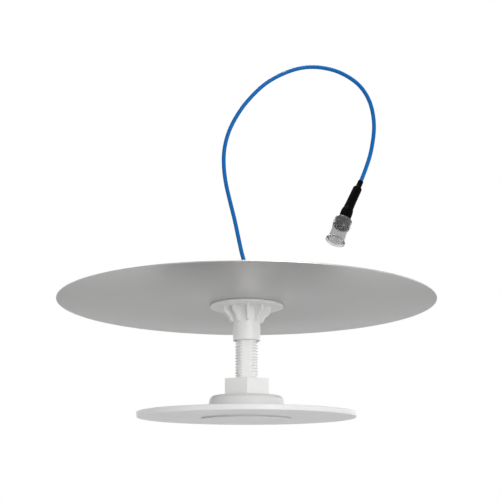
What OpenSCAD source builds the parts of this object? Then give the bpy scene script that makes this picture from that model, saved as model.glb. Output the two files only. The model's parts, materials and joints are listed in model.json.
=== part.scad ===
// Ultra-thin ceiling antenna of an indoor mobile-signal repeater, with its ground reflector,
// threaded stem, coaxial pigtail and capped female connector.
// Millimetres. The origin is on the stem's axis, in the ceiling plane: the top of the plinth's rim.
// +Z runs up the stem. The pigtail's loop rises in the plane y = 0. Its connector leans to the front,
// which is -Y.

/* [Radome] */
// Diameter of the radome at its upper rim
radome_d = 210; // [180:1:240]
// Height of the radome's rim
radome_h = 4.7; // [4:0.1:6]
// Thickness of the radome's lower skin
skin_t = 1.7; // [1.5:0.1:2]
// Diameter of the round disc in the middle of the lower face
disc_d = 88; // [60:1:110]
// How far that disc's face stands below the lower face
disc_h = 2.1; // [1.5:0.1:3]
// Thickness of its rim. Above the rim, a shadow gap runs round the disc.
disc_rim_t = 0.7; // [0.6:0.1:1]
// Depth of that gap
disc_gap = 1.5; // [1:0.5:4]

/* [Plinth] */
// Height of the plinth above the radome's back
plinth_h = 15.8; // [15:0.1:20]
// Diameter of the plinth where it meets the back
plinth_base_d = 76; // [72:1:90]
// Diameter of the plinth's flat top
plinth_top_d = 68; // [66:1:70]

/* [Stem] */
// Outer diameter of the stem's thread, 7/8 inch
stem_d = 22.2; // [22:0.1:22.4]
// Pitch of the thread, nine turns to the inch
thread_pitch = 2.822; // [2.5:0.001:3]
// Radial depth of the thread
thread_depth = 1.35; // [1:0.05:1.5]
// Height of the stem above the ceiling plane
stem_top = 112; // [110:1:116]
// Distance from the axis to the moulding flats on the front and the back of the thread
flat_reach = 8.9; // [8.6:0.1:10]
// Diameter of the hole for the cable
stem_bore_d = 14; // [10:0.5:15]

/* [Nuts] */
// Width across the flats of the nut that clamps the ceiling panel
tile_nut_af = 42; // [40:1:43]
// Height of that nut
tile_nut_h = 16.2; // [12:0.1:20]
// Width across the flats of the nut above the reflector
jam_nut_af = 34; // [30:1:38]
// Height of that nut
jam_nut_h = 9; // [6:1:10]
// Radial clearance between a nut and the thread's crests
nut_gap = 0.08; // [0.05:0.01:0.1]

/* [Reflector] */
// Diameter of the reflector, 14.5 inches
reflector_d = 368.3; // [300:0.1:400]
// Thickness of its sheet
reflector_t = 1; // [0.8:0.1:1.5]
// Height of its lower face above the ceiling plane
reflector_z = 88.8; // [86:0.1:90]

/* [Flange nut] */
// Diameter of the flange that carries the reflector
flange_d = 72; // [60:1:80]
// Thickness of the flange
flange_t = 2.1; // [1.5:0.1:2.2]
// Height of the raised seat on top of it, on which the reflector lies
flange_seat_h = 0.3; // [0.2:0.1:1.5]
// Diameter of the sleeve below it
sleeve_d = 26.8; // [26:0.1:28]
// Height of the whole nut
flange_nut_h = 35.4; // [34:0.1:37]
// Number of ribs
rib_count = 10; // [8:1:12]
// Thickness of a rib
rib_t = 2.4; // [2:0.1:3]
// Distance from the axis to a rib's outer edge
rib_reach = 24.3; // [20:0.1:26]

/* [Pigtail] */
// Diameter of the coaxial cable's jacket
cable_d = 4.14; // [4.1:0.01:4.2]
// Tilt of the connector from straight down
connector_tilt = 22; // [20:0.5:23]
// Lean of the connector to the front
connector_lean = 12; // [10:0.5:14]
// Tilt of the heat-shrink sleeve, which the cable bends a little
sleeve_tilt = 25; // [23:0.5:26]
// Lean of that sleeve
sleeve_lean = 9; // [7:0.5:11]

/* [Hidden] */
$fn = 96;

white = [0.93, 0.93, 0.92];
grey = [0.70, 0.70, 0.71];
steel = [0.62, 0.62, 0.64];
copper = [0.78, 0.48, 0.30];
gold = [0.85, 0.68, 0.30];
blue = [0.08, 0.44, 0.73];
black = [0.05, 0.05, 0.05];

// Levels, from the radome's lower face up
base_z = -(radome_h + plinth_h);
pcb_z = base_z + skin_t;
pcb_t = 0.8;
foil_z = pcb_z + pcb_t;
foil_t = 0.1;
back_z = base_z + 3;
rim_z = base_z + radome_h;
roof_z = -4;
roof_seat_z = -1.2;
nut_seat_z = roof_seat_z + 1;
foot_t = 3;
foot_z = roof_z - foot_t;
plate_z = base_z + 6;
plate_t = 1;

// Radii of the radome's shells
radome_r = radome_d / 2;
radome_draft = 0.4;
pocket_r = radome_r - 1.7;
ledge_r = radome_r - 7;
cavity_base_r = plinth_base_d / 2 - 2.8;
cavity_top_r = plinth_top_d / 2 - 0.8;
seat_r = 25.2;

// Stem and its foot
stem_r = stem_d / 2;
root_r = stem_r - thread_depth;
flank_h = thread_depth * tan(30);
crest_h = thread_pitch / 8;
thread_start = 1;
thread_turns = floor((stem_top - 1.5 - thread_start) / thread_pitch);
bore_r = stem_bore_d / 2;
foot_r = 31;
hole_r = stem_r + 0.3;
foot_screw_r = 27;
pilot_r = 1.25;

// Ground plate and its standoffs
plate_r = 32;
standoff_r = 24;
standoff_af = 5;
standoff_top = plate_z;

// Nuts
nut_bore_r = stem_r + nut_gap;
nut_turn = 1.5;
flange_top = reflector_z;
flange_z = flange_top - flange_seat_h - flange_t;
sleeve_z = flange_top - flange_nut_h;
sleeve_r = sleeve_d / 2;
flange_seat_r = 30;
rib_turn = -90 + 3.7;
washer_t = 1.5;
washer_z = reflector_z + reflector_t;
jam_z = washer_z + washer_t;

// Cable entry at the top of the stem
bush_head_t = 5;
bush_plug_h = 10;
bush_top = stem_top + bush_head_t;
cable_r = cable_d / 2;

// Where the connector's rear shoulder is, and where its sleeve bends
joint = [97, -14, 173.9];
bell_h = 12.9;
bend = joint + bell_h * slant(connector_tilt, connector_lean);
shrink_h = 33.8;
neck_r = 2.5;
jack_r = 7.94;
jack_end = 11.4;
cap_gap = 0.08;

// The cable's centreline, from the stem's bush to the crimp inside the sleeve
route = concat([
    [0, 0, 117], [0, 0, 123], [-1.5, 0, 131], [-4.5, 0, 139.5], [-7, 0, 151.5], [-9.5, 0, 163.5],
    [-12, 0, 176], [-15, 0, 188], [-18, 0, 200.5], [-21, 0, 213], [-23, 0, 226], [-24, 0, 239],
    [-23.5, 0, 252], [-21, 0, 265], [-17, 0, 277], [-11, 0, 289], [-4, 0, 300.5], [4, 0, 310.5],
    [13, 0, 320.5], [23, 0, 329], [34, 0, 335.5], [46, 0, 341], [58, 0, 344.5], [71, 0, 345.5],
    [83.5, 0, 343.8], [95.8, 0, 340.3], [107.2, 0, 333.8], [117.3, 0, 325.8], [124.8, 0, 315],
    [129.8, 0, 302.5], [131.9, 0, 289], [132.3, -0.1, 275.5], [130.4, -0.7, 262.3],
    [127.8, -1.6, 248.9], [123.7, -3, 235.9], [119.2, -4.5, 224.2]
], [for (d = [shrink_h, 22.4, 10.8, 1]) bend + d * slant(sleeve_tilt, sleeve_lean)]);
route_sides = 10;

// Points of an arc about [cx, cz], from angle a0 to angle a1
function arc(cx, cz, r, a0, a1, n = 6) =
    [for (i = [0:n]) let (a = a0 + (a1 - a0) * i / n) [cx + r * cos(a), cz + r * sin(a)]];

// A smooth step between two heights and two radii, for the curved foot of a rib
function s_curve(r0, z0, r1, z1, n = 8) =
    [for (i = [0:n]) let (t = i / n, s = t * t * (3 - 2 * t)) [r0 + (r1 - r0) * s, z0 + (z1 - z0) * t]];

// Unit vector that points up, tilted towards +X and leaned towards +Y
function slant(tilt, lean) = [sin(tilt) * cos(lean), sin(lean), cos(tilt) * cos(lean)];

// Unit tangent of the cable's route at point i
function route_tangent(i) =
    let (a = route[max(i - 1, 0)], b = route[min(i + 1, len(route) - 1)])
    (b - a) / norm(b - a);

// One ring of the cable's skin at point i
function route_ring(i) =
    let (t = route_tangent(i), side = [t[2], 0, -t[0]], u = side / norm(side), v = cross(t, u))
    [for (j = [0:route_sides - 1])
        let (a = 360 * j / route_sides)
        route[i] + cable_r * (cos(a) * u + sin(a) * v)];

module ring(r_in, r_out, z0, z1) {
    translate([0, 0, z0])
        difference() {
            cylinder(r = r_out, h = z1 - z0);
            translate([0, 0, -1])
                cylinder(r = r_in, h = z1 - z0 + 2);
        }
}

module around(count, radius, turn = 0) {
    for (i = [0:count - 1])
        rotate([0, 0, turn + 360 * i / count])
            translate([radius, 0, 0])
                children();
}

module hex_prism(af, h) {
    cylinder(r = af / 2 / cos(30), h = h, $fn = 6);
}

// Moves a piece drawn along +Z from the connector's rear shoulder to its place
module on_connector() {
    translate(joint)
        rotate([connector_lean, 180 + connector_tilt, 0])
            children();
}

// The same for the upper stretch of the sleeve, drawn from its bend up towards the cable
module on_sleeve() {
    translate(bend)
        rotate([-sleeve_lean, sleeve_tilt, 0])
            children();
}

module front_cover() {
    face_r = radome_r - radome_draft;
    color(white)
        rotate_extrude()
            polygon(concat(
                [[0, base_z]],
                arc(face_r - 0.6, base_z + 0.6, 0.6, -90, 0),
                arc(radome_r - 0.4, rim_z - 0.4, 0.4, 0, 90),
                [[pocket_r, rim_z], [pocket_r, foil_z], [ledge_r, foil_z]],
                [[ledge_r, pcb_z], [0, pcb_z]]
            ));
}

// Disc on the lower face, carried by a narrower hub
module centre_disc() {
    edge_r = disc_d / 2;
    hub_r = edge_r - disc_gap;
    low_z = base_z - disc_h;
    color(white)
        rotate_extrude()
            polygon([
                [0, low_z], [edge_r - 0.2, low_z], [edge_r, low_z + 0.2], [edge_r, low_z + disc_rim_t],
                [hub_r, low_z + disc_rim_t], [hub_r, base_z], [0, base_z]
            ]);
}

module back_cover() {
    color(white)
        ring(cavity_base_r, pocket_r - 0.2, back_z, rim_z);
}

// Coned boss welded to the back cover. Its rim is the face that meets the ceiling panel.
module plinth() {
    foot_edge_r = plinth_base_d / 2;
    top_r = plinth_top_d / 2;
    color(white)
        difference() {
            rotate_extrude()
                polygon(concat(
                    [[cavity_base_r, rim_z], [foot_edge_r + 1.2, rim_z]],
                    arc(foot_edge_r + 1.2, rim_z + 1.4, 1.2, 270, 180, 4),
                    [[foot_edge_r - 1.8, rim_z + 9.1], [top_r + 1.5, rim_z + 12.2]],
                    arc(top_r - 0.3, -1.8, 1.8, 12, 90),
                    [[seat_r, 0], [seat_r, roof_seat_z], [hole_r, roof_seat_z]],
                    [[hole_r, roof_z], [cavity_top_r, roof_z]]
                ));
            around(4, foot_screw_r)
                translate([0, 0, roof_z - 1])
                    cylinder(r = pilot_r, h = 3.8, $fn = 24);
        }
}

module bond_tape() {
    color(grey)
        ring(ledge_r + 0.2, pocket_r - 0.3, foil_z, back_z);
}

module antenna_pcb() {
    color([0.20, 0.42, 0.26])
        translate([0, 0, pcb_z])
            cylinder(r = ledge_r - 0.3, h = pcb_t);
}

// Two rounded lobes and a matching ring: a wideband element in copper foil
module radiator() {
    color(copper)
        translate([0, 0, foil_z])
            linear_extrude(foil_t) {
                for (side = [-1, 1])
                    translate([side * 52, 0])
                        difference() {
                            circle(r = 36);
                            translate([side * 14, 0])
                                circle(r = 12);
                        }
                square([36, 3], center = true);
                difference() {
                    circle(r = 10);
                    circle(r = 6);
                }
            }
}

module foam_pad() {
    color([0.85, 0.85, 0.80])
        ring(40, ledge_r - 1, foil_z + foil_t, back_z);
}

module standoffs() {
    color(gold)
        around(4, standoff_r, 45)
            difference() {
                translate([0, 0, foil_z])
                    hex_prism(standoff_af, standoff_top - foil_z);
                translate([0, 0, standoff_top - 2])
                    cylinder(r = 1, h = 3, $fn = 24);
            }
}

module standoff_screws() {
    color(steel)
        around(4, standoff_r, 45) {
            translate([0, 0, plate_z - 2])
                cylinder(r = 1, h = plate_t + 2.5, $fn = 24);
            translate([0, 0, plate_z + plate_t])
                cylinder(r = 2, h = 1.4, $fn = 24);
        }
}

module ground_plate() {
    color(grey)
        difference() {
            translate([0, 0, plate_z])
                cylinder(r = plate_r, h = plate_t);
            translate([0, 0, plate_z - 1])
                cylinder(r = 1.5, h = plate_t + 2, $fn = 24);
            around(4, standoff_r, 45)
                translate([0, 0, plate_z - 1])
                    cylinder(r = 1, h = plate_t + 2, $fn = 24);
        }
}

module feed_bead() {
    color(white)
        ring(0.46, 1.5, plate_z, plate_z + plate_t);
}

// The cable's own centre conductor, down to the ring of the element
module feed_pin() {
    color(copper) {
        translate([0, 0, foil_z + foil_t])
            cylinder(r = 0.46, h = plate_z + plate_t - foil_z - foil_t, $fn = 24);
        translate([0, 0, foil_z + foil_t])
            ring(0.46, 7, 0, 0.3);
    }
}

module solder_collar() {
    foot = plate_z + plate_t;
    color(steel)
        rotate_extrude()
            polygon([[cable_r, foot], [3.8, foot], [2.8, foot + 0.5], [cable_r, foot + 1.4]]);
}

// Ring clamped on the cable under the stem's foot, which takes a pull on the pigtail
module pull_stop() {
    color(grey)
        ring(cable_r, 8.5, foot_z - 3, foot_z);
}

// A hollow threaded tube on a round foot that is screwed up under the plinth's roof
module stem() {
    color(white)
        difference() {
            union() {
                translate([0, 0, foot_z])
                    cylinder(r = foot_r, h = foot_t);
                intersection() {
                    rotate_extrude()
                        polygon(concat(
                            [[0, foot_z], [stem_r, foot_z], [stem_r, thread_start]],
                            [for (i = [0:thread_turns - 1])
                                let (z = thread_start + i * thread_pitch)
                                each [[root_r, z + flank_h],
                                      [root_r, z + thread_pitch - crest_h - flank_h],
                                      [stem_r, z + thread_pitch - crest_h],
                                      [stem_r, z + thread_pitch]]],
                            [[root_r, stem_top - 0.6], [root_r - 0.6, stem_top], [0, stem_top]]
                        ));
                    translate([-50, -flat_reach, foot_z - 1])
                        cube([100, 2 * flat_reach, 200]);
                }
            }
            translate([0, 0, foot_z - 1])
                cylinder(r = bore_r, h = 200);
            ring(14, 18, roof_z - 1, roof_z + 1);
            around(4, foot_screw_r)
                translate([0, 0, foot_z - 1])
                    cylinder(r = pilot_r + 0.35, h = foot_t + 2, $fn = 24);
        }
}

module stem_gasket() {
    color(black)
        ring(14, 18, roof_z - 1, roof_z);
}

module foot_screws() {
    color(steel)
        around(4, foot_screw_r) {
            translate([0, 0, foot_z - 0.5])
                cylinder(r = pilot_r, h = foot_t + 3.3, $fn = 24);
            translate([0, 0, foot_z - 1.8])
                cylinder(r = 2.6, h = 1.8, $fn = 24);
        }
}

module seat_washer() {
    color(grey)
        ring(12, 20, roof_seat_z, nut_seat_z);
}

// Tall hexagonal nut that pulls the plinth up against a ceiling panel
module tile_nut() {
    color(white)
        difference() {
            translate([0, 0, nut_seat_z])
                rotate([0, 0, 30 + nut_turn])
                    hex_prism(tile_nut_af, tile_nut_h);
            translate([0, 0, nut_seat_z - 1])
                cylinder(r = nut_bore_r, h = tile_nut_h + 2);
        }
}

// Sleeve nut with a ribbed flange, on which the reflector lies
module flange_nut() {
    rib_foot = flange_z - 14.6;
    waist_r = 18;
    color(white)
        difference() {
            union() {
                rotate_extrude()
                    polygon(concat(
                        [[0, sleeve_z], [sleeve_r - 1, sleeve_z], [sleeve_r, sleeve_z + 1]],
                        [[sleeve_r, flange_z]],
                        arc(flange_d / 2 - 0.6, flange_z + 0.6, 0.6, -90, 0, 4),
                        [[flange_d / 2, flange_z + flange_t - 0.2]],
                        [[flange_d / 2 - 0.2, flange_z + flange_t], [flange_seat_r, flange_z + flange_t]],
                        [[flange_seat_r, flange_top], [0, flange_top]]
                    ));
                around(rib_count, 0, rib_turn)
                    rotate([90, 0, 0])
                        linear_extrude(rib_t, center = true)
                            polygon(concat(
                                [[sleeve_r - 1, flange_z + 0.5], [sleeve_r - 1, rib_foot]],
                                [[sleeve_r, rib_foot], [waist_r - 1, rib_foot + 1]],
                                [[waist_r - 0.4, rib_foot + 2]],
                                s_curve(waist_r, rib_foot + 3.6, rib_reach, flange_z - 4),
                                [[rib_reach, flange_z + 0.5]]
                            ));
            }
            translate([0, 0, sleeve_z - 1])
                cylinder(r = nut_bore_r, h = flange_nut_h + 2);
            translate([0, 0, sleeve_z - 0.01])
                cylinder(r1 = nut_bore_r + 1.2, r2 = nut_bore_r, h = 1.4);
        }
}

module reflector() {
    edge = reflector_d / 2;
    color([0.66, 0.66, 0.67])
        rotate_extrude($fn = 180)
            polygon([
                [stem_r + 0.4, reflector_z], [edge - 0.2, reflector_z], [edge, reflector_z + 0.2],
                [edge, reflector_z + reflector_t - 0.2], [edge - 0.2, reflector_z + reflector_t],
                [stem_r + 0.4, reflector_z + reflector_t]
            ]);
}

module reflector_washer() {
    color(grey)
        ring(stem_r + 0.4, 22, washer_z, jam_z);
}

module jam_nut() {
    color(white)
        difference() {
            translate([0, 0, jam_z])
                rotate([0, 0, 12])
                    hex_prism(jam_nut_af, jam_nut_h);
            translate([0, 0, jam_z - 1])
                cylinder(r = nut_bore_r, h = jam_nut_h + 2);
        }
}

// Soft bush in the mouth of the stem, with a short cone that the cable bends over
module cable_bush() {
    color(black)
        rotate_extrude()
            polygon(concat(
                [[cable_r, stem_top - bush_plug_h], [bore_r, stem_top - bush_plug_h]],
                [[bore_r, stem_top], [8.6, stem_top]],
                arc(7.4, stem_top + 1.2, 1.2, 0, 90, 4),
                [[4.2, stem_top + 2.4]],
                arc(cable_r + 0.8, bush_top - 0.8, 0.8, 20, 90, 3),
                [[cable_r, bush_top]]
            ));
}

module inner_cable() {
    foot = plate_z + plate_t;
    color(blue)
        translate([0, 0, foot])
            cylinder(r = cable_r, h = bush_top - foot, $fn = 24);
}

module feed_cable() {
    last = len(route) - 1;
    n = route_sides;
    color(blue)
        polyhedron(
            points = [for (i = [0:last]) each route_ring(i)],
            faces = concat(
                [[for (j = [0:n - 1]) j]],
                [for (i = [0:last - 1], j = [0:n - 1])
                    let (k = (j + 1) % n)
                    [i * n + j, (i + 1) * n + j, (i + 1) * n + k, i * n + k]],
                [[for (j = [n - 1:-1:0]) last * n + j]]
            )
        );
}

// Shrunk sleeve: a neck on the cable, a barrel over the braid, a bell over the crimp
module heat_shrink() {
    color(black)
        difference() {
            union() {
                on_sleeve()
                    rotate_extrude()
                        polygon(concat(
                            [[0, -2], [4.9, -2], [4.8, 4], [4.6, shrink_h - 9.5]],
                            arc(3.4, shrink_h - 8.7, 1.2, 0, 80, 4),
                            [[2.9, shrink_h - 6.8], [2.8, shrink_h - 0.3]],
                            [[2.5, shrink_h], [0, shrink_h]]
                        ));
                on_connector()
                    rotate_extrude()
                        polygon(concat(
                            [[0, -bell_h - 0.5], [4.6, -bell_h - 0.5]],
                            s_curve(4.9, -bell_h, 5.9, -bell_h + 5.4, 5),
                            [[5.85, -1.7], [5.3, -0.3], [0, -0.3]]
                        ));
            }
            on_sleeve()
                translate([0, 0, -0.5])
                    cylinder(r = cable_r + 0.03, h = shrink_h + 2, $fn = 24);
            on_connector()
                translate([0, 0, -bell_h])
                    cylinder(r = 3.5, h = bell_h + 1);
        }
}

module crimp_ferrule() {
    color(steel)
        on_connector()
            ring(neck_r, 3.5, -bell_h, -0.3);
}

// Female jack: crimp neck, coned shoulder, wrench collar, relief groove and threaded barrel
module connector_body() {
    turns = 6;
    pitch = 1.058;
    start = 4.1;
    color(steel)
        on_connector()
            difference() {
                rotate_extrude()
                    polygon(concat(
                        [[0, -bell_h], [neck_r, -bell_h], [neck_r, -0.3], [5.5, -0.3]],
                        [[jack_r, 1.6], [jack_r, 3.2], [7.0, 3.4], [7.0, start - 0.2]],
                        [for (i = [0:turns - 1])
                            let (z = start + i * pitch)
                            each [[7.3, z], [jack_r, z + 0.36], [jack_r, z + 0.5], [7.3, z + 0.86]]],
                        [[7.0, jack_end], [0, jack_end]]
                    ));
                translate([0, 0, 3])
                    cylinder(r = 4.05, h = jack_end);
                translate([0, 0, -bell_h - 1])
                    cylinder(r = 1.5, h = bell_h + 2);
                translate([0, 0, 0.5])
                    cylinder(r = 3, h = jack_end);
            }
}

module connector_insulator() {
    color(white)
        on_connector()
            difference() {
                union() {
                    translate([0, 0, 0.5])
                        cylinder(r = 3, h = 2.5);
                    translate([0, 0, 3])
                        cylinder(r = 4.05, h = 2);
                }
                cylinder(r = 1.52, h = jack_end, $fn = 24);
            }
}

module connector_contact() {
    color(gold)
        on_connector()
            difference() {
                union() {
                    translate([0, 0, 0.5])
                        cylinder(r = 1.52, h = 10.4, $fn = 24);
                    translate([0, 0, -bell_h])
                        cylinder(r = 1.5, h = bell_h + 1, $fn = 24);
                }
                translate([0, 0, 6])
                    cylinder(r = 0.83, h = jack_end, $fn = 24);
                for (turn = [0, 90])
                    rotate([0, 0, turn])
                        translate([-2, -0.15, 7])
                            cube([4, 0.3, jack_end]);
            }
}

// Soft cap, stretched over the barrel, drawn in below it and flared at its closed end
module dust_cap() {
    inner_r = jack_r + cap_gap;
    tip = 27.8;
    color([0.80, 0.82, 0.84, 0.6])
        on_connector()
            rotate_extrude()
                polygon(concat(
                    [[inner_r, 0.9]],
                    arc(7.8, 2.4, 1.3, -70, 0, 5),
                    [[9.1, 8.8], [8.9, 9.8], [8.5, 11.7], [8.1, 13.7], [8.0, 15.6], [8.5, 25]],
                    arc(9.3, tip - 1.1, 0.7, -70, 90, 6),
                    [[9.3, tip - 0.4], [8.6, tip - 0.4], [8.0, tip - 1], [0, tip - 1]],
                    [[0, tip - 2.2], [7.6, tip - 2.2], [7.2, 15.4], [7.2, 13.4], [inner_r, 11.7]]
                ));
}

front_cover();
centre_disc();
back_cover();
plinth();
bond_tape();
antenna_pcb();
radiator();
foam_pad();
standoffs();
standoff_screws();
ground_plate();
feed_bead();
feed_pin();
solder_collar();
pull_stop();
stem();
stem_gasket();
foot_screws();
seat_washer();
tile_nut();
flange_nut();
reflector();
reflector_washer();
jam_nut();
cable_bush();
inner_cable();
feed_cable();
heat_shrink();
crimp_ferrule();
connector_body();
connector_insulator();
connector_contact();
dust_cap();
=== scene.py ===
"""Looks of an ultra-thin ceiling antenna with a ground reflector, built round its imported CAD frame.

Outlines are in millimetres, in the CAD part's frame, and become metres when a piece is made.
"""

import json
import math

import bmesh
import bpy
from mathutils import Matrix, Vector


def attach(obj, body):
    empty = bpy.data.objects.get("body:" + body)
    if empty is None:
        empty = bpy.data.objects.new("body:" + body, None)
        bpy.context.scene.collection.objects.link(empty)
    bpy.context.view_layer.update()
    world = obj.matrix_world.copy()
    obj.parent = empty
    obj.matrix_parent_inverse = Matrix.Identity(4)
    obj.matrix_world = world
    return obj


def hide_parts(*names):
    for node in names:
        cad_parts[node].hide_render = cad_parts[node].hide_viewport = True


MM = 0.001
TAU = math.tau

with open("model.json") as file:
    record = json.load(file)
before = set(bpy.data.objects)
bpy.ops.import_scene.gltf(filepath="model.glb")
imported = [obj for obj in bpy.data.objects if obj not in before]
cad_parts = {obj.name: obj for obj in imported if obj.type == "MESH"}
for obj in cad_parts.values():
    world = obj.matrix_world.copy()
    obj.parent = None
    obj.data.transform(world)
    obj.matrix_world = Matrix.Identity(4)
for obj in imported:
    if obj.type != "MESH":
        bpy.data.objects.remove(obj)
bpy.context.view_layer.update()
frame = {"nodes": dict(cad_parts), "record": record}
scene = bpy.context.scene


# ---------------------------------------------------------------- camera

LENS = 65.15
CAMERA_PITCH = 14.463
CAMERA_AT = (0.00327, -0.87765, -0.08097)


def make_camera():
    """The photograph's view: a little below the antenna, looking up at it."""
    data = bpy.data.cameras.new("camera")
    data.lens = LENS
    data.sensor_width = 36
    data.clip_start = 0.01
    camera = bpy.data.objects.new("camera", data)
    camera.location = CAMERA_AT
    camera.rotation_euler = (math.radians(90 + CAMERA_PITCH), 0, 0)
    scene.collection.objects.link(camera)
    scene.camera = camera


make_camera()


# ---------------------------------------------------------------- materials

def node(tree, kind, sockets=None, **settings):
    """Adds a shader node. A socket's value is a number, a colour or another node's output."""
    made = tree.nodes.new("ShaderNode" + kind)
    for key, value in settings.items():
        setattr(made, key, value)
    for key, value in (sockets or {}).items():
        if isinstance(value, bpy.types.NodeSocket):
            tree.links.new(value, made.inputs[key])
        else:
            made.inputs[key].default_value = value
    return made


def coordinates(tree, source, stretch):
    """Texture space in metres: the object's own, or the one that a turned piece was drawn in."""
    if source == "object":
        space = node(tree, "TexCoord").outputs["Object"]
    else:
        space = node(tree, "Attribute", attribute_name=source).outputs["Vector"]
    return node(tree, "Mapping", {"Vector": space, "Scale": stretch}).outputs["Vector"]


def noise(tree, space, size, detail=2.0, roughness=0.5):
    """Noise whose patches are about `size` metres across."""
    return node(tree, "TexNoise", {"Vector": space, "Scale": 1 / size, "Detail": detail,
                                   "Roughness": roughness}).outputs["Fac"]


def spread(tree, value, low, high):
    """Noise, which lies mostly between 0.3 and 0.7, stretched to run from low to high."""
    return node(tree, "MapRange", {"Value": value, "From Min": 0.3, "From Max": 0.7,
                                   "To Min": low, "To Max": high}).outputs["Result"]


def shade(colour, factor):
    return (colour[0] * factor, colour[1] * factor, colour[2] * factor, 1)


def surface(name, colour, roughness, mottle, grain, metallic=0.0, source="object",
            stretch=(1, 1, 1), rough_spread=0.05, ripple=None, fixed=None):
    """A finish with colour variation, uneven gloss and a fine relief.

    mottle is (size, amount), grain is (size, height) and ripple a second, larger relief.
    fixed holds values that are the same all over, set on the shader's own sockets.
    """
    material = bpy.data.materials.new(name)
    material.use_nodes = True
    tree = material.node_tree
    shader = tree.nodes["Principled BSDF"]
    space = coordinates(tree, source, stretch)
    patches = noise(tree, space, mottle[0], detail=4)
    tint = node(tree, "Mix", {"Factor": patches}, data_type="RGBA")
    tint.inputs["A"].default_value = shade(colour, 1 - mottle[1] * 2.5)
    tint.inputs["B"].default_value = shade(colour, 1 + mottle[1] * 2.5)
    tree.links.new(tint.outputs["Result"], shader.inputs["Base Color"])
    gloss = noise(tree, space, mottle[0] * 0.35, detail=3)
    tree.links.new(spread(tree, gloss, roughness - rough_spread, roughness + rough_spread),
                   shader.inputs["Roughness"])
    relief = noise(tree, space, grain[0], detail=3, roughness=0.6)
    bump = node(tree, "Bump", {"Height": relief, "Strength": 1.0, "Distance": grain[1]})
    if ripple:
        wide = noise(tree, space, ripple[0], detail=2)
        bump = node(tree, "Bump", {"Height": wide, "Strength": 1.0, "Distance": ripple[1],
                                   "Normal": bump.outputs["Normal"]})
    tree.links.new(bump.outputs["Normal"], shader.inputs["Normal"])
    shader.inputs["Metallic"].default_value = metallic
    for key, value in (fixed or {}).items():
        shader.inputs[key].default_value = value
    return material


def laminate():
    """Glass cloth under a green resin: two crossed sets of threads."""
    material = surface("laminate", (0.035, 0.13, 0.06), 0.35, (0.02, 0.04), (0.0004, 0.00001))
    tree = material.node_tree
    shader = tree.nodes["Principled BSDF"]
    space = coordinates(tree, "object", (1, 1, 1))
    warp = node(tree, "TexWave", {"Vector": space, "Scale": 180.0}, bands_direction="X")
    weft = node(tree, "TexWave", {"Vector": space, "Scale": 180.0}, bands_direction="Y")
    cloth = node(tree, "Math", {0: warp.outputs["Fac"], 1: weft.outputs["Fac"]}, operation="MULTIPLY")
    bump = node(tree, "Bump", {"Height": cloth.outputs[0], "Strength": 1.0, "Distance": 0.00002})
    tree.links.new(bump.outputs["Normal"], shader.inputs["Normal"])
    return material


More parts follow.
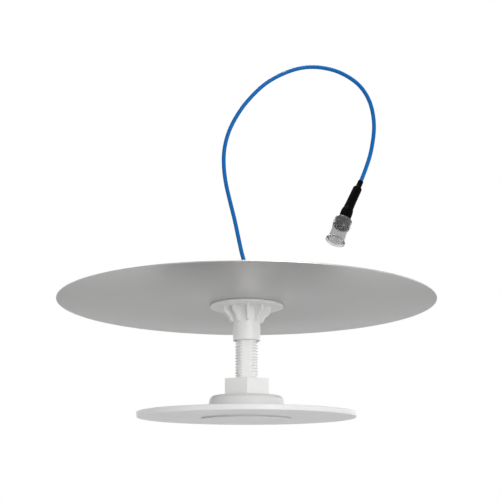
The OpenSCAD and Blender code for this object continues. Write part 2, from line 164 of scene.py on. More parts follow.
MATERIALS = {
    "white_asa": surface("white_asa", (0.80, 0.80, 0.80), 0.38, (0.05, 0.008), (0.0006, 0.000012),
                         ripple=(0.02, 0.00003)),
    "matt_white": surface("matt_white", (0.82, 0.82, 0.82), 0.62, (0.03, 0.008), (0.0004, 0.000015)),
    "white_nylon": surface("white_nylon", (0.89, 0.89, 0.88), 0.38, (0.018, 0.012), (0.0005, 0.00001),
                           ripple=(0.006, 0.00003),
                           fixed={"Subsurface Weight": 0.3, "Subsurface Scale": 0.002,
                                  "Subsurface Radius": (1, 1, 1)}),
    "grey_nylon": surface("grey_nylon", (0.60, 0.60, 0.60), 0.42, (0.012, 0.02), (0.0005, 0.00001)),
    "reflector_aluminium": surface("reflector_aluminium", (0.61, 0.605, 0.60), 0.35, (0.15, 0.004),
                                   (0.0012, 0.0000012), metallic=1.0, stretch=(0.2, 1, 1),
                                   rough_spread=0.01, ripple=(0.12, 0.00001)),
    "aluminium_sheet": surface("aluminium_sheet", (0.75, 0.75, 0.76), 0.3, (0.02, 0.02),
                               (0.0008, 0.000004), metallic=1.0, stretch=(0.05, 1, 1)),
    "blue_jacket": surface("blue_jacket", (0.0, 0.13, 0.43), 0.36, (0.03, 0.02), (0.0009, 0.000006),
                           ripple=(0.012, 0.00002), fixed={"Specular IOR Level": 0.15}),
    "black_shrink": surface("black_shrink", (0.001, 0.001, 0.001), 0.6, (0.006, 0.08),
                            (0.0007, 0.00001), source="local", ripple=(0.003, 0.00006),
                            fixed={"Specular IOR Level": 0.04}),
    "black_rubber": surface("black_rubber", (0.018, 0.018, 0.018), 0.6, (0.006, 0.08), (0.0004, 0.00002)),
    "nickel": surface("nickel", (0.18, 0.175, 0.165), 0.2, (0.004, 0.03), (0.0004, 0.000001),
                      metallic=1.0, source="local"),
    "gold_plate": surface("gold_plate", (0.83, 0.60, 0.24), 0.22, (0.004, 0.03), (0.0003, 0.000003),
                          metallic=1.0),
    "brass_parts": surface("brass_parts", (0.70, 0.52, 0.22), 0.3, (0.006, 0.04), (0.0003, 0.000004),
                           metallic=1.0),
    "steel_parts": surface("steel_parts", (0.56, 0.56, 0.57), 0.3, (0.005, 0.03), (0.0003, 0.000004),
                           metallic=1.0),
    "copper_foil": surface("copper_foil", (0.78, 0.38, 0.22), 0.3, (0.012, 0.06), (0.0006, 0.000004),
                           metallic=1.0),
    "solder": surface("solder", (0.60, 0.60, 0.62), 0.25, (0.002, 0.03), (0.0008, 0.00003), metallic=1.0),
    "ptfe": surface("ptfe", (0.86, 0.86, 0.85), 0.5, (0.004, 0.01), (0.0004, 0.000006)),
    "acrylic_tape": surface("acrylic_tape", (0.50, 0.50, 0.48), 0.55, (0.01, 0.03), (0.0006, 0.00002)),
    "white_foam": surface("white_foam", (0.80, 0.79, 0.74), 0.8, (0.01, 0.03), (0.0012, 0.0002)),
    "clear_cap": surface("clear_cap", (0.64, 0.645, 0.65), 0.16, (0.004, 0.01), (0.0012, 0.000003),
                         source="local", stretch=(1, 1, 0.04),
                         fixed={"Transmission Weight": 0.94, "IOR": 1.3, "Specular IOR Level": 0.2}),
    "laminate": laminate(),
}
SLOTS = {part["node"]: part["material_slot"] for part in frame["record"]["subparts"]}

for name, cad_node in frame["nodes"].items():
    cad_node.data.materials.clear()
    cad_node.data.materials.append(MATERIALS[SLOTS[name]])


# ---------------------------------------------------------------- pigtail

def slant(tilt, lean):
    """Unit vector that points up, tilted towards +X and leaned towards +Y, in degrees."""
    tilt, lean = math.radians(tilt), math.radians(lean)
    return Vector((math.sin(tilt) * math.cos(lean), math.sin(lean), math.cos(tilt) * math.cos(lean)))


# The connector hangs from JOINT, its rear shoulder. Its sleeve bends at BEND, where the crimp ends.
CONNECTOR_TILT, CONNECTOR_LEAN = 22, 12
SLEEVE_TILT, SLEEVE_LEAN = 25, 9
JOINT = Vector((97, -14, 173.9))
CONNECTOR = (Matrix.Translation(JOINT) @ Matrix.Rotation(math.radians(180 + CONNECTOR_TILT), 4, "Y")
             @ Matrix.Rotation(math.radians(CONNECTOR_LEAN), 4, "X"))
BELL_H = 12.9
BEND = JOINT + BELL_H * slant(CONNECTOR_TILT, CONNECTOR_LEAN)
SLEEVE_UP = slant(SLEEVE_TILT, SLEEVE_LEAN)
SHRINK_H = 33.8

# The cable's centreline, which repeats the CAD part's: the loop as (x, z) in the plane y = 0, the run
# that comes forward to the connector, and four points inside the sleeve. All but the first three and the
# last four were traced by a script and rounded, and should be replaced by points chosen by hand.
CABLE_D = 4.14
CABLE_EXIT_Z = 117
LOOP = [
    (0, CABLE_EXIT_Z), (0, 123), (-1.5, 131), (-4.5, 139.5), (-7, 151.5), (-9.5, 163.5), (-12, 176),
    (-15, 188), (-18, 200.5), (-21, 213), (-23, 226), (-24, 239), (-23.5, 252), (-21, 265),
    (-17, 277), (-11, 289), (-4, 300.5), (4, 310.5), (13, 320.5), (23, 329), (34, 335.5),
    (46, 341), (58, 344.5), (71, 345.5), (83.5, 343.8), (95.8, 340.3), (107.2, 333.8),
    (117.3, 325.8), (124.8, 315), (129.8, 302.5), (131.9, 289),
]
ROUTE = [(x, 0, z) for x, z in LOOP]
ROUTE += [(132.3, -0.1, 275.5), (130.4, -0.7, 262.3), (127.8, -1.6, 248.9), (123.7, -3, 235.9),
          (119.2, -4.5, 224.2)]
ROUTE += [BEND + SLEEVE_UP * up for up in (SHRINK_H, 22.4, 10.8, 1)]


def make_pigtail():
    curve = bpy.data.curves.new("pigtail", "CURVE")
    curve.dimensions = "3D"
    curve.bevel_depth = CABLE_D / 2 * MM
    curve.bevel_resolution = 8
    curve.resolution_u = 12
    curve.use_fill_caps = True
    spline = curve.splines.new("NURBS")
    spline.points.add(len(ROUTE) - 1)
    for point, (x, y, z) in zip(spline.points, ROUTE):
        point.co = (x * MM, y * MM, z * MM, 1)
    spline.order_u = 4
    spline.use_endpoint_u = True
    curve.materials.append(MATERIALS["blue_jacket"])
    cable = bpy.data.objects.new("pigtail", curve)
    scene.collection.objects.link(cable)
    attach(cable, "antenna")
    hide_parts("feed_cable")
    return cable


pigtail = make_pigtail()


# ---------------------------------------------------------------- mesh tools

def rounded(corners, steps=5):
    """A closed outline. A corner's third number is the radius that it is rounded to."""
    outline = []
    for i, corner in enumerate(corners):
        here = Vector(corner[:2])
        if len(corner) < 3:
            outline.append(tuple(here))
            continue
        back = (Vector(corners[i - 1][:2]) - here).normalized()
        ahead = (Vector(corners[(i + 1) % len(corners)][:2]) - here).normalized()
        half = back.angle(ahead) / 2
        centre = here + (back + ahead).normalized() * corner[2] / math.sin(half)
        start = here + back * corner[2] / math.tan(half) - centre
        end = here + ahead * corner[2] / math.tan(half) - centre
        turn = start.angle_signed(end)
        for k in range(steps + 1):
            spoke = start.copy()
            spoke.rotate(Matrix.Rotation(-turn * k / steps, 2))
            outline.append(tuple(centre + spoke))
    return outline


def even(count):
    """Angles all round, in radians."""
    return [TAU * i / count for i in range(count)]


def plain(radius, angle, z):
    return (radius * math.cos(angle), radius * math.sin(angle), z)


def bridge(bm, lower, upper):
    """Faces between two closed rings of the same number of vertices, poles included."""
    for j in range(len(lower)):
        k = (j + 1) % len(lower)
        corners = list(dict.fromkeys([lower[j], lower[k], upper[k], upper[j]]))
        if len(corners) > 2:
            bm.faces.new(corners)


def lathe(bm, outline, angles, shape=plain, closed=True):
    """Turns an outline of (radius, height) round the axis."""
    rings = []
    for radius, z in outline:
        if radius < 1e-6:
            rings.append([bm.verts.new((0, 0, z))] * len(angles))
        else:
            rings.append([bm.verts.new(shape(radius, angle, z)) for angle in angles])
    for lower, upper in zip(rings, rings[1:] + (rings[:1] if closed else [])):
        bridge(bm, lower, upper)


def thread(bm, angles, form, pitch, low, high, end_radius, shape=plain):
    """A screw thread between two heights, whose form runs out to end_radius at both ends.

    form is one pitch of (share of the pitch, radius), and the thread is right-handed.
    """
    turns = range(-2, int((high - low) / pitch) + 2)
    rows = [(t + share, radius) for t in turns for share, radius in form]
    run_out = pitch / 2
    grid = []
    for angle in angles:
        column = []
        for height, radius in rows:
            z = min(max(low + (height + angle / TAU) * pitch, low), high)
            amount = min(1, (z - low) / run_out, (high - z) / run_out)
            r = end_radius + (radius - end_radius) * amount
            column.append(bm.verts.new(shape(r, angle, z)))
        grid.append(column)
    last = len(rows) - 1
    for j in range(len(angles)):
        k = (j + 1) % len(angles)
        shift = len(form) if k == 0 else 0
        for i in range(last):
            a, b = min(i + shift, last), min(i + 1 + shift, last)
            corners = list(dict.fromkeys([grid[j][i], grid[k][a], grid[k][b], grid[j][i + 1]]))
            bm.faces.new(corners)


def clean(bm):
    bmesh.ops.remove_doubles(bm, verts=bm.verts, dist=1e-4)
    bmesh.ops.dissolve_degenerate(bm, edges=bm.edges, dist=1e-5)
    bmesh.ops.recalc_face_normals(bm, faces=bm.faces)


def add(bm, other, place=None):
    """Puts a copy of another bmesh into bm, and frees the other."""
    mesh = bpy.data.meshes.new("work")
    if place:
        other.transform(place)
    other.to_mesh(mesh)
    other.free()
    bm.from_mesh(mesh)
    bpy.data.meshes.remove(mesh)


def combine(base, tool, operation):
    """The solid `base` with the solid `tool` joined to it or cut from it."""
    made = []
    for bm in (base, tool):
        clean(bm)
        mesh = bpy.data.meshes.new("work")
        bm.to_mesh(mesh)
        bm.free()
        made.append(bpy.data.objects.new("work", mesh))
        scene.collection.objects.link(made[-1])
    modifier = made[0].modifiers.new("combine", "BOOLEAN")
    modifier.solver = "MANIFOLD"
    modifier.operation = operation
    modifier.object = made[1]
    result = bmesh.new()
    result.from_object(made[0], bpy.context.evaluated_depsgraph_get())
    for obj in made:
        bpy.data.meshes.remove(obj.data)
    return result


def make_piece(name, bm, body, nodes, sharp=30, place=None):
    """A finished object in metres, which rides on a body and stands for CAD nodes.

    The points' places before `place` are kept as the attribute "local", in metres.
    """
    clean(bm)
    local = bm.verts.layers.float_vector.new("local")
    for vert in bm.verts:
        vert[local] = vert.co * MM
    bm.transform(Matrix.Scale(MM, 4) @ (place or Matrix.Identity(4)))
    for face in bm.faces:
        face.smooth = True
    for edge in bm.edges:
        if edge.calc_face_angle(0) > math.radians(sharp):
            edge.smooth = False
    mesh = bpy.data.meshes.new(name)
    bm.to_mesh(mesh)
    bm.free()
    slot = SLOTS[nodes[0]]
    mesh.materials.append(MATERIALS[slot])
    piece = bpy.data.objects.new(name, mesh)
    scene.collection.objects.link(piece)
    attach(piece, body)
    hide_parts(*nodes)
    return piece


# ---------------------------------------------------------------- radome and plinth

BASE_Z = -20.5
RIM_Z = -15.8
RADOME_R = 105
DISC_R = 44
DISC_Z = BASE_Z - 2.1
POCKET_R = RADOME_R - 1.7
PLINTH_BORE_R = 35.2
SEAT_R = 25.2
ROOF_SEAT_Z = -1.2
ROOF_Z = -4
HOLE_R = 11.4
FOOT_SCREWS = 4
FOOT_SCREW_R = 27


def foot_holes(bm, z, radius, depth):
    """What the screws that hold the stem's foot to the plinth's roof take out."""
    for i in range(FOOT_SCREWS):
        turn = Matrix.Rotation(TAU * i / FOOT_SCREWS, 4, "Z")
        hole = bmesh.new()
        lathe(hole, [(0, 0), (radius, 0), (radius, depth), (0, depth)], even(24))
        add(bm, hole, turn @ Matrix.Translation((FOOT_SCREW_R, 0, z)))


def make_front_cover():
    """Radome shell: a thin dish, stepped inside its rim for the tape and the back plate."""
    bm = bmesh.new()
    corners = [
        (0, BASE_Z), (RADOME_R - 0.4, BASE_Z, 0.9), (RADOME_R, RIM_Z, 0.45), (POCKET_R, RIM_Z, 0.15),
        (POCKET_R, BASE_Z + 2.5, 0.2), (RADOME_R - 7, BASE_Z + 2.5, 0.15),
        (RADOME_R - 7, BASE_Z + 1.7, 0.2), (0, BASE_Z + 1.7),
    ]
    lathe(bm, rounded(corners, 6), even(256))
    return make_piece("radome_shell", bm, "antenna", ["front_cover"])


def make_centre_disc():
    """Disc in the middle of the lower face. A shadow gap runs round it, above its thin rim."""
    bm = bmesh.new()
    corners = [
        (0, DISC_Z), (DISC_R, DISC_Z, 0.2), (DISC_R, DISC_Z + 0.7, 0.15),
        (DISC_R - 1.5, DISC_Z + 0.7, 0.1), (DISC_R - 1.5, BASE_Z), (0, BASE_Z),
    ]
    lathe(bm, rounded(corners, 4), even(192))
    return make_piece("centre_disc_plate", bm, "antenna", ["centre_disc"])


def make_back_cover():
    bm = bmesh.new()
    outer, inner = POCKET_R - 0.2, PLINTH_BORE_R
    corners = [(inner, BASE_Z + 3), (outer, BASE_Z + 3, 0.15), (outer, RIM_Z, 0.3), (inner, RIM_Z)]
    lathe(bm, rounded(corners), even(256))
    return make_piece("back_plate", bm, "antenna", ["back_cover"])


def make_plinth():
    """Coned boss with a soft shoulder. The nut's washer sits in the seat in its top."""
    bm = bmesh.new()
    corners = [
        (PLINTH_BORE_R, RIM_Z), (39.2, RIM_Z), (38.4, RIM_Z + 0.5), (38.0, RIM_Z + 1.4, 0.6),
        (36.2, RIM_Z + 9.1, 9.0), (35.4, RIM_Z + 13.2, 2.0), (33.0, 0, 1.5),
        (SEAT_R, 0, 0.3), (SEAT_R, ROOF_SEAT_Z, 0.15), (HOLE_R, ROOF_SEAT_Z, 0.25),
        (HOLE_R, ROOF_Z), (33.2, ROOF_Z, 0.4),
    ]
    lathe(bm, rounded(corners, 8), even(160))
    pilots = bmesh.new()
    foot_holes(pilots, ROOF_Z - 1, 1.25, 3.6)
    return make_piece("plinth_shell", combine(bm, pilots, "DIFFERENCE"), "antenna", ["plinth"])


make_front_cover()
make_centre_disc()
make_back_cover()
make_plinth()


# ---------------------------------------------------------------- stem

STEM_R = 11.1
ROOT_R = 9.75
PITCH = 2.822
FLAT_REACH = 8.9
STEM_TOP = 112
BORE_R = 7
FOOT_Z = ROOF_Z - 3
FOOT_R = 31
STEM_FORM = [
    (0.0, STEM_R - 0.10), (0.02, STEM_R), (0.105, STEM_R), (0.125, STEM_R - 0.10),
    (0.380, ROOT_R + 0.10), (0.415, ROOT_R), (0.700, ROOT_R), (0.735, ROOT_R + 0.10),
]


def stem_shape(radius, angle, z):
    """The thread is cut off flat at the front and the back, where its mould halves meet."""
    x, y = radius * math.cos(angle), radius * math.sin(angle)
    if z > ROOF_Z + 0.01:
        y = min(max(y, -FLAT_REACH), FLAT_REACH)
    return (x, y, z)


def stem_angles():
    """Even angles, and the ones where the flats cut the thread's crest and root."""
    crest, root = math.asin(FLAT_REACH / STEM_R), math.asin(FLAT_REACH / ROOT_R)
    edges = []
    for a in (crest, (crest + root) / 2, root):
        edges += [a, math.pi - a, math.pi + a, TAU - a]
    spread_out = [a for a in even(120) if min(abs(a - e) for e in edges) > 0.015]
    return sorted(spread_out + edges)


def make_stem():
    bm = bmesh.new()
    angles = stem_angles()
    low, high = 1.0, STEM_TOP - 1.5
    thread(bm, angles, STEM_FORM, PITCH, low, high, ROOT_R, stem_shape)
    outline = [
        (ROOT_R, high), (ROOT_R, STEM_TOP - 0.6), (ROOT_R - 0.6, STEM_TOP), (BORE_R + 0.4, STEM_TOP),
        (BORE_R, STEM_TOP - 0.4), (BORE_R, FOOT_Z + 0.4), (BORE_R + 0.4, FOOT_Z),
        (FOOT_R - 0.3, FOOT_Z), (FOOT_R, FOOT_Z + 0.3), (FOOT_R, ROOF_Z - 0.3),
        (FOOT_R - 0.3, ROOF_Z), (STEM_R, ROOF_Z),
        (STEM_R, ROOF_Z + 0.02), (STEM_R, low - 0.6), (ROOT_R, low),
    ]
    lathe(bm, outline, angles, stem_shape, closed=False)
    holes = bmesh.new()
    foot_holes(holes, ROOF_Z - 4, 1.6, 5)
    groove = bmesh.new()
    lathe(groove, [(14, ROOF_Z - 1), (18, ROOF_Z - 1), (18, ROOF_Z + 1), (14, ROOF_Z + 1)], even(96))
    add(holes, groove)
    return make_piece("threaded_stem", combine(bm, holes, "DIFFERENCE"), "antenna", ["stem"], sharp=35)


make_stem()


# ---------------------------------------------------------------- nuts and washers

NUT_BORE_R = STEM_R + 0.08
SEAT_Z = ROOF_SEAT_Z + 1
NUT_TOP = 16
FLANGE_TOP = 88.8
RIM_TOP = FLANGE_TOP - 0.12
FLANGE_Z = FLANGE_TOP - 2.4
SLEEVE_Z = FLANGE_TOP - 35.4
SLEEVE_R = 13.4
FLANGE_R = 36
FLANGE_SEAT_R = 30
RIBS = 10
RIB_TURN = -90 + 3.7
RIB_REACH = 24.3
RIB_T = 2.4
REFLECTOR_R = 184.15
REFLECTOR_T = 1
REFLECTOR_HOLE_R = 11.5
JAM_Z = FLANGE_TOP + 2.5
JAM_H = 9
CLAMP_ACROSS = 42
JAM_ACROSS = 34


def hexagon(across, corner, turn):
    """Points round a hexagon with rounded corners."""
    reach = across / 2 / math.cos(math.pi / 6)
    corners = []
    for i in range(6):
        a = TAU * i / 6 + math.radians(turn)
        corners.append((reach * math.cos(a), reach * math.sin(a), corner))
    return rounded(corners, 4)


def prism(bm, outline, levels):
    """Stacks an outline at levels of (inset, height) and closes both ends."""
    rings = []
    for inset, z in levels:
        ring = []
        for x, y in outline:
            scale = 1 - inset / math.hypot(x, y)
            ring.append(bm.verts.new((x * scale, y * scale, z)))
        rings.append(ring)
    for lower, upper in zip(rings, rings[1:]):
        bridge(bm, lower, upper)
    bm.faces.new(rings[0][::-1])
    bm.faces.new(rings[-1])


def bore(low, high, lead):
    """What a nut's threaded hole takes out, with a coned lead-in at each end."""
    bm = bmesh.new()
    wide = NUT_BORE_R + lead
    outline = [
        (0, low - 1), (wide, low - 1), (wide, low), (NUT_BORE_R, low + lead),
        (NUT_BORE_R, high - lead), (wide, high), (wide, high + 1), (0, high + 1),
    ]
    lathe(bm, outline, even(120))
    return bm


def soft_edges(low, high, size):
    """Levels of a prism whose top and bottom edges are rounded."""
    turned = [(size * (1 - math.sin(a)), size * (1 - math.cos(a))) for a in (0, 0.5, 1.0, math.pi / 2)]
    return [(inset, low + dz) for inset, dz in turned] + [(inset, high - dz) for inset, dz in turned[::-1]]


def make_clamp_nut():
    bm = bmesh.new()
    prism(bm, hexagon(CLAMP_ACROSS, 0.45, 31.5), soft_edges(SEAT_Z, NUT_TOP, 0.3))
    return make_piece("clamping_nut", combine(bm, bore(SEAT_Z, NUT_TOP, 0.6), "DIFFERENCE"),
                      "clamp_nut", ["tile_nut"])


def make_lock_nut():
    """Its corners are coned off at both ends, as a turned nut's are."""
    bm = bmesh.new()
    low, high = JAM_Z, JAM_Z + JAM_H
    prism(bm, hexagon(JAM_ACROSS, 0.4, 12), soft_edges(low, high, 0.2))
    cone = bmesh.new()
    outline = [(0, low), (17.2, low), (19.8, low + 1.4), (19.8, high - 1.4), (17.2, high), (0, high)]
    lathe(cone, outline, even(120))
    bm = combine(bm, cone, "INTERSECT")
    return make_piece("lock_nut_above", combine(bm, bore(low, high, 0.8), "DIFFERENCE"),
                      "lock_nut", ["jam_nut"], sharp=25)


def make_washer(name, node_name, body, inner, outer, low, high):
    bm = bmesh.new()
    corners = [(inner, low, 0.15), (outer, low, 0.3), (outer, high, 0.3), (inner, high, 0.15)]
    lathe(bm, rounded(corners, 3), even(120))
    return make_piece(name, bm, body, [node_name])


def rib():
    """One gusset under the flange, with a waisted outer edge and softened corners."""
    bm = bmesh.new()
    foot, top, waist = FLANGE_Z - 14.6, FLANGE_Z - 4, 18
    outline = [(SLEEVE_R - 1, FLANGE_Z + 0.5), (SLEEVE_R - 1, foot), (SLEEVE_R + 0.1, foot)]
    outline += [(waist - 1.2, foot + 0.9), (waist - 0.65, foot + 1.4), (waist - 0.35, foot + 2.2)]
    for i in range(13):
        t = i / 12
        s = t * t * (3 - 2 * t)
        outline.append((waist + (RIB_REACH - waist) * s, foot + 3.6 + (top - foot - 3.6) * t))
    outline.append((RIB_REACH, FLANGE_Z + 0.5))
    sides = [[bm.verts.new((x, y, z)) for x, z in outline] for y in (-RIB_T / 2, RIB_T / 2)]
    bridge(bm, *sides)
    bm.faces.new(sides[0][::-1])
    bm.faces.new(sides[1])
    bmesh.ops.recalc_face_normals(bm, faces=bm.faces)
    shown = []
    for edge in bm.edges:
        a, b = (v.co for v in edge.verts)
        if abs(a.y - b.y) < 1e-6 and min(a.x, b.x) > SLEEVE_R - 0.5:
            shown.append(edge)
    bmesh.ops.bevel(bm, geom=shown, offset=0.4, segments=3, profile=0.5, affect="EDGES")
    return bm


def make_support_nut():
    bm = bmesh.new()
    corners = [
        (0, SLEEVE_Z), (SLEEVE_R, SLEEVE_Z, 1.0), (SLEEVE_R, FLANGE_Z, 0.8), (FLANGE_R, FLANGE_Z, 0.25),
        (FLANGE_R, RIM_TOP, 0.15), (FLANGE_SEAT_R, RIM_TOP, 0.04), (FLANGE_SEAT_R, FLANGE_TOP, 0.04),
        (0, FLANGE_TOP),
    ]
    lathe(bm, rounded(corners, 5), even(160))
    ribs = bmesh.new()
    for i in range(RIBS):
        add(ribs, rib(), Matrix.Rotation(math.radians(RIB_TURN + 360 / RIBS * i), 4, "Z"))
    bm = combine(bm, ribs, "UNION")
    return make_piece("ribbed_flange_nut", combine(bm, bore(SLEEVE_Z, FLANGE_TOP, 1.2), "DIFFERENCE"),
                      "support_nut", ["flange_nut"])


def make_reflector():
    bm = bmesh.new()
    low, high = FLANGE_TOP, FLANGE_TOP + REFLECTOR_T
    corners = [
        (REFLECTOR_HOLE_R, low, 0.1), (REFLECTOR_R, low, 0.25), (REFLECTOR_R, high, 0.25),
        (REFLECTOR_HOLE_R, high, 0.1),
    ]
    lathe(bm, rounded(corners, 3), even(360))
    return make_piece("reflector_sheet", bm, "reflector_stack", ["reflector"])


def make_bush():
    """Rubber bush in the stem's mouth, with a soft cone that the cable bends over."""
    bm = bmesh.new()
    corners = [
        (CABLE_D / 2, STEM_TOP - 10), (BORE_R, STEM_TOP - 10, 0.4), (BORE_R, STEM_TOP),
        (8.6, STEM_TOP, 0.3), (8.6, STEM_TOP + 2.2, 1.0), (4.6, STEM_TOP + 2.6, 1.6),
        (CABLE_D / 2 + 0.9, CABLE_EXIT_Z, 0.6), (CABLE_D / 2, CABLE_EXIT_Z),
    ]
    lathe(bm, rounded(corners, 6), even(72))
    return make_piece("rubber_bush", bm, "antenna", ["cable_bush"])


make_clamp_nut()
make_lock_nut()
make_washer("pressure_washer", "seat_washer", "clamp_washer", 12, 20, ROOF_SEAT_Z, SEAT_Z)
make_washer("sheet_washer", "reflector_washer", "reflector_stack", REFLECTOR_HOLE_R, 22,
            FLANGE_TOP + REFLECTOR_T, JAM_Z)
make_support_nut()
make_reflector()
make_bush()


# ---------------------------------------------------------------- connector

SHRINK_END = BELL_H + SHRINK_H
SHRINK_STEP = 0.35
JACK_R = 7.94
JACK_ROOT_R = 7.3
BARREL_R = 7.0
BARREL_END = 11.4
JACK_PITCH = 1.058
CAP_TIP = 27.8


def make_shrink():
    """Shrunk sleeve over the crimp, the braid and the jacket. It bends where the crimp ends."""
    bm = bmesh.new()
    outline = [(2.1, 0.3), (5.2, 0.3), (5.4, 0.6)]
    profile = [
        (0.9, 5.55), (1.7, 5.8), (3.2, 6.0), (6, 6.0), (7.8, 5.98), (9.4, 5.85), (10.8, 5.6),
        (12, 5.2), (12.9, 5.0), (15.4, 4.85), (20.6, 4.72), (28, 4.64), (34.6, 4.6), (37.2, 4.5),
        (38.2, 4.1), (38.9, 3.4), (39.5, 3.0), (40.4, 2.84), (43.6, 2.8), (46, 2.78), (46.5, 2.7),
        (SHRINK_END, 2.45),
    ]
    s = 0.9
    while s < SHRINK_END:
        for (s0, r0), (s1, r1) in zip(profile, profile[1:]):
            if s0 <= s < s1:
                t = (s - s0) / (s1 - s0)
                outline.append((r0 + (r1 - r0) * t, s))
        s += SHRINK_STEP
    outline += [(2.45, SHRINK_END), (2.1, SHRINK_END)]
    lathe(bm, outline, even(72))
    up = CONNECTOR.to_3x3().transposed() @ SLEEVE_UP
    bend = math.acos(-up.z)
    aside = up.xy.normalized()
    for vert in bm.verts:
        x, y, s = vert.co
        radius, angle = math.hypot(x, y), math.atan2(y, x)
        if radius > 2.3:
            wave = math.sin(3 * angle + 0.9 * s) * math.sin(0.55 * s + 1.0)
            wave += 0.6 * math.sin(5 * angle - 0.7 * s + 2.0) * math.sin(0.31 * s)
            radius += 0.05 * wave
        x, y = radius * math.cos(angle), radius * math.sin(angle)
        past = max(0.0, s - BELL_H)
        amount = min(1.0, max(0.0, (s - BELL_H + 1.5) / 3))
        turn = bend * amount * amount * (3 - 2 * amount)
        off = x * aside.x + y * aside.y
        shift = off * (math.cos(turn) - 1) + past * math.sin(bend)
        vert.co = (x + shift * aside.x, y + shift * aside.y,
                   off * math.sin(turn) - min(s, BELL_H) - past * math.cos(bend))
    return make_piece("shrink_sleeve", bm, "antenna", ["heat_shrink"], place=CONNECTOR, sharp=40)


def make_jack():
    """Female jack: crimp neck, coned shoulder, collar, relief groove and threaded barrel."""
    bm = bmesh.new()
    angles = even(96)
    form = [
        (0.0, JACK_ROOT_R), (0.30, 7.88), (0.36, JACK_R), (0.47, JACK_R), (0.53, 7.88),
        (0.83, JACK_ROOT_R),
    ]
    low, high = 3.9, 11.2
    thread(bm, angles, form, JACK_PITCH, low, high, BARREL_R)
    outline = [
        (BARREL_R, high), (6.8, BARREL_END), (4.3, BARREL_END), (4.05, 11.15), (4.05, 3.0), (3.0, 3.0),
        (3.0, 0.5), (1.5, 0.5), (1.5, -BELL_H), (2.3, -BELL_H), (2.5, -BELL_H + 0.2), (2.5, -0.3),
        (5.4, -0.3), (5.5, -0.2), (7.8, 1.5), (JACK_R, 1.7), (JACK_R, 3.1), (7.84, 3.2), (7.1, 3.35),
        (BARREL_R, 3.45), (BARREL_R, low),
    ]
    lathe(bm, outline, angles, closed=False)
    return make_piece("threaded_jack", bm, "antenna", ["connector_body"], place=CONNECTOR)


def make_cap():
    """Soft cap, stretched over the barrel, drawn in below it and flared at its closed end."""
    bm = bmesh.new()
    corners = [
        (8.02, 0.9, 0.1), (8.25, 0.9, 0.15), (9.1, 2.3, 1.2), (9.12, 8.7, 1.2), (8.45, 11.8, 2.5),
        (8.0, 14.9, 4), (8.05, 17.7), (8.5, 25, 1.2), (9.5, 25.8, 0.3), (10.0, 26.5, 0.3),
        (10.0, CAP_TIP, 0.5), (9.3, CAP_TIP, 0.25), (8.8, CAP_TIP - 0.7, 0.3),
        (0, CAP_TIP - 0.8), (0, CAP_TIP - 2.0), (7.6, CAP_TIP - 2.0, 0.8),
        (7.2, 15.4, 3), (7.3, 13.4, 0.5), (8.02, 11.8, 0.3),
    ]
    lathe(bm, rounded(corners, 6), even(128))
    return make_piece("push_on_cap", bm, "cap", ["dust_cap"], place=CONNECTOR)


shrink, jack, cap = make_shrink(), make_jack(), make_cap()


# ---------------------------------------------------------------- studio

TENT_LEFT = 1.1
TENT_RIGHT = 1.75
TENT_TOP = 0.15
FLOOR_Z = -0.25
FLOOR_R = 8
# Reach of the painted pool of light and painted shade on the floor.
PAINTED_POOL_R = 4.0


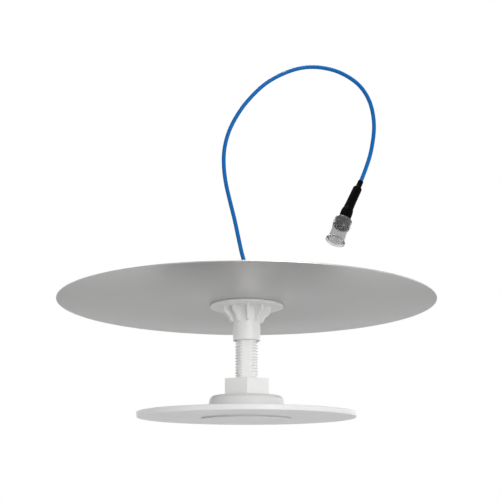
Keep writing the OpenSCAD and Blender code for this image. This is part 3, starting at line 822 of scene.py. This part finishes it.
def make_floor():
    """A wide disc, well below the antenna. Its tone is painted light and shade, not the floor's own
    colour: white under the antenna as a painted pool of light, a painted greyer ring round that, pale
    again beyond.
    """
    bm = bmesh.new()
    bmesh.ops.create_circle(bm, cap_ends=True, segments=96, radius=FLOOR_R)
    mesh = bpy.data.meshes.new("floor")
    bm.to_mesh(mesh)
    bm.free()
    floor = bpy.data.objects.new("floor", mesh)
    floor.location = (0, 0, FLOOR_Z)
    scene.collection.objects.link(floor)
    material = surface("floor_painted_light", (0.8, 0.8, 0.8), 0.7, (0.5, 0.004), (0.002, 0.00002))
    tree = material.node_tree
    place = node(tree, "TexCoord").outputs["Object"]
    away = node(tree, "VectorMath", {0: place}, operation="LENGTH").outputs["Value"]
    share = node(tree, "MapRange", {"Value": away, "From Max": PAINTED_POOL_R}).outputs[0]
    # Painted light and shade: bright straight under the antenna like a pool of light, a painted darker
    # ring round it, then pale again.
    ramp = node(tree, "ValToRGB", {"Fac": share})
    stops = ramp.color_ramp.elements
    stops[0].position, stops[1].position = 0.05, 1.0
    for element, tone in zip(stops, (0.94, 0.80)):
        element.color = (tone, tone, tone, 1)
    for position, tone in ((0.22, 0.46), (0.36, 0.50), (0.6, 0.76)):
        stops.new(position).color = (tone, tone, tone, 1)
    tree.links.new(ramp.outputs["Color"], tree.nodes["Principled BSDF"].inputs["Base Color"])
    mesh.materials.append(material)


def make_light(name, place, target, size, power):
    """A round area light, which rays that pass through the clear cap don't see."""
    data = bpy.data.lights.new(name, "AREA")
    data.shape = "DISK"
    data.size = size
    data.energy = power
    light = bpy.data.objects.new(name, data)
    light.location = place
    light.rotation_euler = (Vector(target) - Vector(place)).to_track_quat("-Z", "Y").to_euler()
    light.visible_transmission = False
    scene.collection.objects.link(light)


def make_world():
    """White to the camera and through the cap, and a tent that is brighter to the right and low down."""
    world = bpy.data.worlds.new("studio")
    scene.world = world
    world.use_nodes = True
    tree = world.node_tree
    tree.nodes.clear()
    behind = node(tree, "Background", {"Color": (1, 1, 1, 1), "Strength": 1.0})
    way = node(tree, "SeparateXYZ", {"Vector": node(tree, "TexCoord").outputs["Generated"]})
    side = node(tree, "MapRange", {"Value": way.outputs["X"], "From Min": -0.9, "From Max": 0.15,
                                   "To Min": TENT_LEFT, "To Max": TENT_RIGHT})
    high = node(tree, "MapRange", {"Value": way.outputs["Z"], "From Min": 0.1, "From Max": 0.45,
                                   "To Min": 1.0, "To Max": TENT_TOP})
    tent = node(tree, "Math", {0: side.outputs[0], 1: high.outputs[0]}, operation="MULTIPLY")
    around = node(tree, "Background", {"Color": (1, 1, 1, 1), "Strength": tent.outputs[0]})
    path = node(tree, "LightPath")
    seen = node(tree, "Math", {0: path.outputs["Is Camera Ray"], 1: path.outputs["Is Transmission Ray"]},
                operation="MAXIMUM").outputs[0]
    mix = node(tree, "MixShader", {0: seen, 1: around.outputs[0], 2: behind.outputs[0]})
    output = node(tree, "OutputWorld")
    tree.links.new(mix.outputs[0], output.inputs["Surface"])


make_floor()
make_light("key", (0.75, -2.0, 0.08), (0, 0, 0.05), 1.2, 17.5)
make_light("overhead", (0, 0, 1.8), (0, 0, 0), 1.2, 22)
make_light("background", (0, 3.4, 2.8), (0, 2.8, FLOOR_Z), 1.2, 40)
make_world()
scene.view_settings.view_transform = "Standard"
